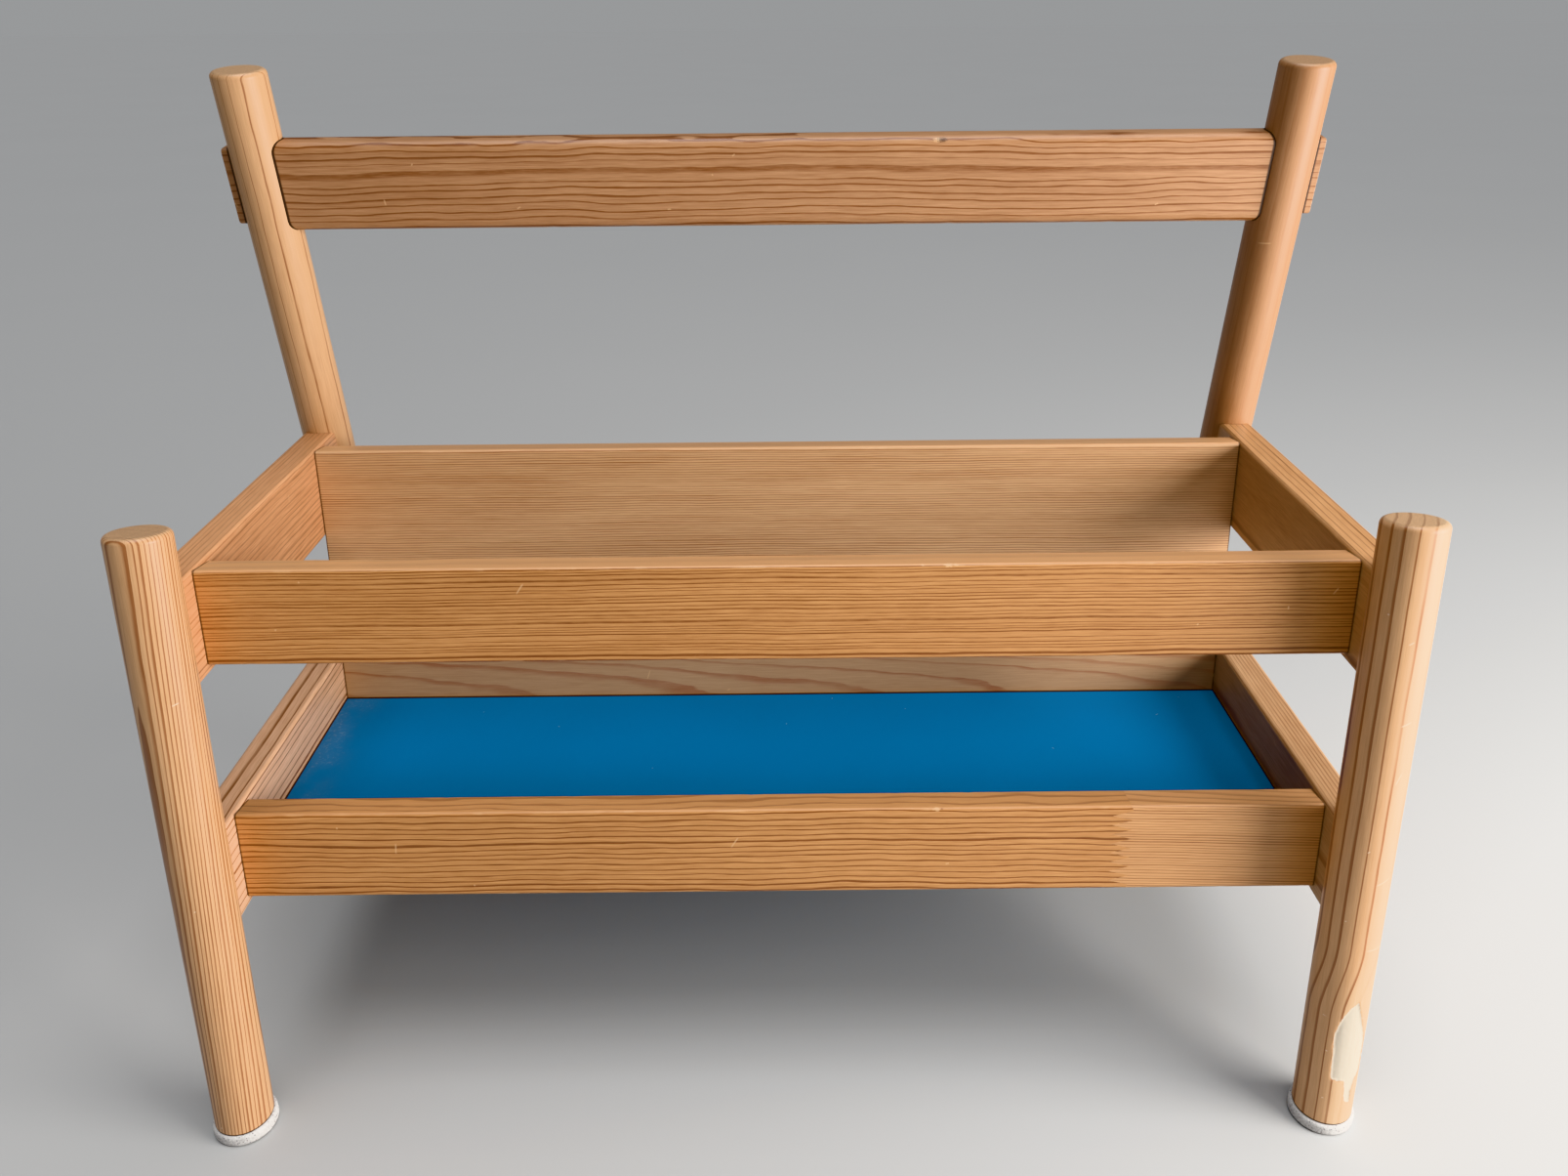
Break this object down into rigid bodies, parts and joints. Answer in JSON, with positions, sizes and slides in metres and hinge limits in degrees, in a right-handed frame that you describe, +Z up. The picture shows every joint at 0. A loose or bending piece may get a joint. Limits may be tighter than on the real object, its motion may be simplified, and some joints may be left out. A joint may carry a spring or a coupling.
{
  "type": "children's book display",
  "caption": "Low wooden book display on leaning round posts: a floored tray and an open frame above it hold picture books upright, and a rail joins the taller rear posts.",
  "frame": {"origin": "on the floor, midway between the four feet", "axes": "+X along the rack to its right end, +Y to its back, +Z up"},
  "size_m": [0.7254, 0.4192, 0.6023],
  "materials": {
    "honey_pine": "clear satin lacquer",
    "pale_pine": "clear satin lacquer",
    "red_pine": "clear satin lacquer",
    "beech": "bare, glued in",
    "felt": "pressed felt",
    "blue_laminate": "satin blue facing on board"
  },
  "bodies": {
    "root": {"front_left_post": "honey_pine", "front_right_post": "honey_pine", "rear_left_post": "honey_pine", "rear_right_post": "honey_pine", "front_left_felt_pad": "felt", "front_right_felt_pad": "felt", "rear_left_felt_pad": "felt", "rear_right_felt_pad": "felt", "upper_left_end_rail": "pale_pine", "upper_right_end_rail": "pale_pine", "lower_left_end_rail": "pale_pine", "lower_right_end_rail": "pale_pine", "upper_front_rail": "honey_pine", "upper_back_board": "pale_pine", "lower_front_rail_long": "honey_pine", "lower_front_rail_short": "honey_pine", "lower_back_rail": "pale_pine", "top_rail": "red_pine", "tray_panel": "blue_laminate", "post_dowel_upper_front_left_top": "beech", "post_dowel_upper_front_left_bottom": "beech", "post_dowel_upper_front_right_top": "beech", "post_dowel_upper_front_right_bottom": "beech", "post_dowel_upper_rear_left_top": "beech", "post_dowel_upper_rear_left_bottom": "beech", "post_dowel_upper_rear_right_top": "beech", "post_dowel_upper_rear_right_bottom": "beech", "post_dowel_lower_front_left_top": "beech", "post_dowel_lower_front_left_bottom": "beech", "post_dowel_lower_front_right_top": "beech", "post_dowel_lower_front_right_bottom": "beech", "post_dowel_lower_rear_left_top": "beech", "post_dowel_lower_rear_left_bottom": "beech", "post_dowel_lower_rear_right_top": "beech", "post_dowel_lower_rear_right_bottom": "beech", "rail_dowel_upper_front_left_top": "beech", "rail_dowel_upper_front_left_bottom": "beech", "rail_dowel_upper_front_right_top": "beech", "rail_dowel_upper_front_right_bottom": "beech", "rail_dowel_upper_back_left_top": "beech", "rail_dowel_upper_back_left_bottom": "beech", "rail_dowel_upper_back_right_top": "beech", "rail_dowel_upper_back_right_bottom": "beech", "rail_dowel_lower_front_left_top": "beech", "rail_dowel_lower_front_left_bottom": "beech", "rail_dowel_lower_front_right_top": "beech", "rail_dowel_lower_front_right_bottom": "beech", "rail_dowel_lower_back_left_top": "beech", "rail_dowel_lower_back_left_bottom": "beech", "rail_dowel_lower_back_right_top": "beech", "rail_dowel_lower_back_right_bottom": "beech"}
  },
  "joints": []
}
